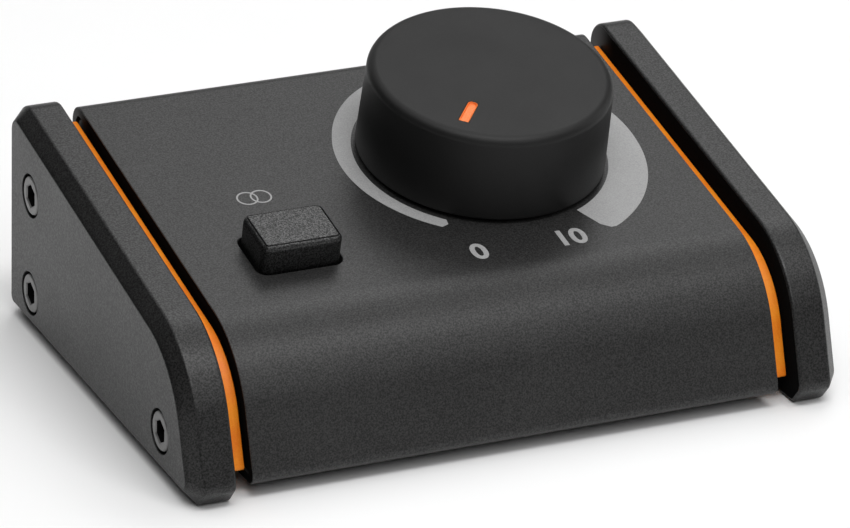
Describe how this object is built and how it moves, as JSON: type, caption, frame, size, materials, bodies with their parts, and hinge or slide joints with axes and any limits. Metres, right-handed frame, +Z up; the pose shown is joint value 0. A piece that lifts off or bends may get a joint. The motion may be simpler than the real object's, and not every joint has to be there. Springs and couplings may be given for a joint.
{
  "type": "studio monitor controller",
  "caption": "Desktop volume controller for studio monitors: sloping bent-metal housing between thick bevelled cheeks, large volume knob, push button, jack sockets at the back",
  "frame": {"origin": "on the table under the middle of the object's overall length, width and height box", "axes": "+X to the right along the width, +Y from the sloping front to the back wall with the sockets, +Z up"},
  "size_m": [0.11, 0.0806, 0.0489],
  "materials": {
    "cheek_coat": "fine satin charcoal powder coat",
    "shell_coat": "fine satin charcoal powder coat",
    "accent_coat": "satin orange coat",
    "knob_soft_touch": "matte black soft-touch coat",
    "indicator_orange": "satin orange",
    "button_plastic": "matte charcoal",
    "black_steel": "black oxide, satin",
    "plain_steel": "zinc-plated, satin",
    "insert_brass": "turned",
    "foot_rubber": "matte black",
    "board_laminate": "satin solder mask",
    "black_plastic": "matte moulded",
    "ribbon_grey": "satin grey insulation"
  },
  "bodies": {
    "housing": {"cheek_left": "cheek_coat", "cheek_right": "cheek_coat", "accent_plate_left": "accent_coat", "accent_plate_right": "accent_coat", "top_shell": "shell_coat", "base_tray": "shell_coat", "cheek_screw_left_back_high": "black_steel", "cheek_screw_left_back_low": "black_steel", "cheek_screw_left_front": "black_steel", "cheek_screw_right_back_high": "black_steel", "cheek_screw_right_back_low": "black_steel", "cheek_screw_right_front": "black_steel", "base_screw_front_left": "black_steel", "base_screw_front_right": "black_steel", "base_screw_back_left": "black_steel", "base_screw_back_right": "black_steel", "foot_front_left": "foot_rubber", "foot_front_right": "foot_rubber", "foot_back_left": "foot_rubber", "foot_back_right": "foot_rubber", "pot_body": "plain_steel", "pot_washer": "plain_steel", "pot_nut": "plain_steel", "switch_body": "black_plastic", "control_board": "board_laminate", "main_board": "board_laminate", "board_screw_front_left": "plain_steel", "board_screw_front_right": "plain_steel", "board_screw_back_left": "plain_steel", "board_screw_back_right": "plain_steel", "ribbon_cable": "ribbon_grey", "jack_in_left": "black_plastic", "jack_washer_in_left": "plain_steel", "jack_nut_in_left": "plain_steel", "jack_in_right": "black_plastic", "jack_washer_in_right": "plain_steel", "jack_nut_in_right": "plain_steel", "jack_out_left": "black_plastic", "jack_washer_out_left": "plain_steel", "jack_nut_out_left": "plain_steel", "jack_out_right": "black_plastic", "jack_washer_out_right": "plain_steel", "jack_nut_out_right": "plain_steel"},
    "knob": {"volume_knob": "knob_soft_touch", "knob_indicator": "indicator_orange", "knob_hub": "insert_brass", "pot_shaft": "plain_steel"},
    "button": {"button_cap": "button_plastic", "switch_plunger": "black_plastic"}
  },
  "joints": [
    {"name": "volume_turn", "type": "hinge", "parent": "housing", "child": "knob", "pos_m": [0.013, 0.0064, 0.03011], "axis": [0, 0.1925, -0.9813], "range_deg": [0, 300]},
    {"name": "button_press", "type": "slide", "parent": "housing", "child": "button", "axis": [0, 0.1925, -0.9813], "range_m": [0, 0.0025], "stiffness_N_per_m": 600, "springref_m": -0.0005}
  ]
}
